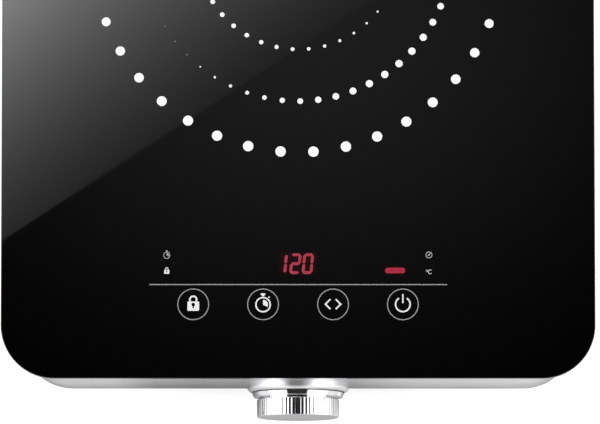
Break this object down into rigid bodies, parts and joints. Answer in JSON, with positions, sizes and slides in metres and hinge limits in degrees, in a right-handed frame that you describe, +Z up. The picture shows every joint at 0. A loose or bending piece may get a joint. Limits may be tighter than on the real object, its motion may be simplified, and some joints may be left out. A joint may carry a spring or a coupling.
{
  "type": "induction cooktop",
  "caption": "Portable induction cooktop: black ceramic glass with rings of white dots and touch keys over a silver housing, with a fluted chrome rotary knob on its front.",
  "frame": {"origin": "on the worktop, under the centre of the footprint, which includes the knob", "axes": "+X to the user's right, +Y from the knob to the back, +Z up"},
  "size_m": [0.288, 0.376, 0.07],
  "materials": {
    "black_glass": "ceramic glass, black, glossy, printed with white dots and symbols",
    "silver_plastic": "silver paint on moulded plastic, satin",
    "black_plastic": "moulded, fine texture",
    "inner_plastic": "heat-resistant moulding, natural pale grey",
    "chrome": "bright chrome plate",
    "black_rubber": "soft rubber, matt",
    "silicone": "black silicone, satin",
    "steel": "zinc plated",
    "shaft_steel": "ground",
    "brass": "machined",
    "circuit_board": "green solder mask over glass-fibre laminate",
    "black_epoxy": "moulded epoxy",
    "copper_litz": "enamelled copper strands, twisted",
    "ferrite": "sintered, matt",
    "mica": "pale translucent mica sheet",
    "white_silicone": "white silicone sleeve",
    "aluminium": "extruded",
    "aluminium_can": "bright drawn can",
    "yellow_case": "moulded capacitor case",
    "white_plastic": "moulded nylon connectors",
    "thermal_pad": "soft silicone pad",
    "display_black": "black display block",
    "display_red": "lit red segments",
    "light_diffuser": "milky light diffuser",
    "conductive_rubber": "carbon-filled silicone",
    "flat_cable": "grey ribbon cable",
    "magnet": "bonded magnet",
    "sensor_glass": "glass bead",
    "varnished_steel": "varnished laminations",
    "white_print": "fired white enamel print, flat",
    "red_light": "red light seen through dark glass"
  },
  "bodies": {
    "root": {"glass_plate": "black_glass", "glass_seal": "silicone", "housing": "silver_plastic", "base_tray": "black_plastic", "foot_front_left": "black_rubber", "foot_front_right": "black_rubber", "foot_rear_left": "black_rubber", "foot_rear_right": "black_rubber", "housing_screws": "steel", "cord_gland": "black_rubber", "knob_bezel": "chrome", "encoder_body": "steel", "encoder_bushing": "brass", "encoder_washer": "steel", "encoder_nut": "brass", "control_carrier": "black_plastic", "control_screws": "steel", "control_board": "circuit_board", "control_chip": "black_epoxy", "display_module": "display_black", "display_segments": "display_red", "indicator_lights": "light_diffuser", "touch_pad_lock": "conductive_rubber", "touch_pad_timer": "conductive_rubber", "touch_pad_mode": "conductive_rubber", "touch_pad_power": "conductive_rubber", "ribbon_cable": "flat_cable", "coil_former": "inner_plastic", "coil_screws": "steel", "coil_winding": "copper_litz", "coil_lead_inner": "white_silicone", "coil_lead_outer": "white_silicone", "coil_terminals": "brass", "ferrite_bars": "ferrite", "mica_sheet": "mica", "sensor_holder": "white_silicone", "temperature_sensor": "sensor_glass", "fan_frame": "black_plastic", "fan_screws": "steel", "fan_stator": "varnished_steel", "fan_bearing": "brass", "fan_cable": "black_rubber", "main_board": "circuit_board", "board_screws": "steel", "heatsink": "aluminium", "power_transistor": "black_epoxy", "bridge_rectifier": "black_epoxy", "thermal_pads": "thermal_pad", "resonant_capacitor": "yellow_case", "filter_capacitor": "yellow_case", "toroid_choke": "copper_litz", "supply_transformer": "varnished_steel", "electrolytic_capacitors": "aluminium_can", "board_connectors": "white_plastic"},
    "knob": {"knob": "chrome", "knob_insert": "black_plastic", "encoder_shaft": "shaft_steel"},
    "fan": {"fan_rotor": "black_plastic", "fan_shaft": "shaft_steel", "fan_magnet": "magnet"}
  },
  "joints": [
    {"name": "knob_turn", "type": "hinge", "parent": "root", "child": "knob", "pos_m": [0, -0.18, 0.031], "axis": [0, 1, 0], "continuous": true},
    {"name": "fan_spin", "type": "hinge", "parent": "root", "child": "fan", "pos_m": [0.068, 0.06, 0.0225], "axis": [0, 0, 1], "continuous": true}
  ]
}
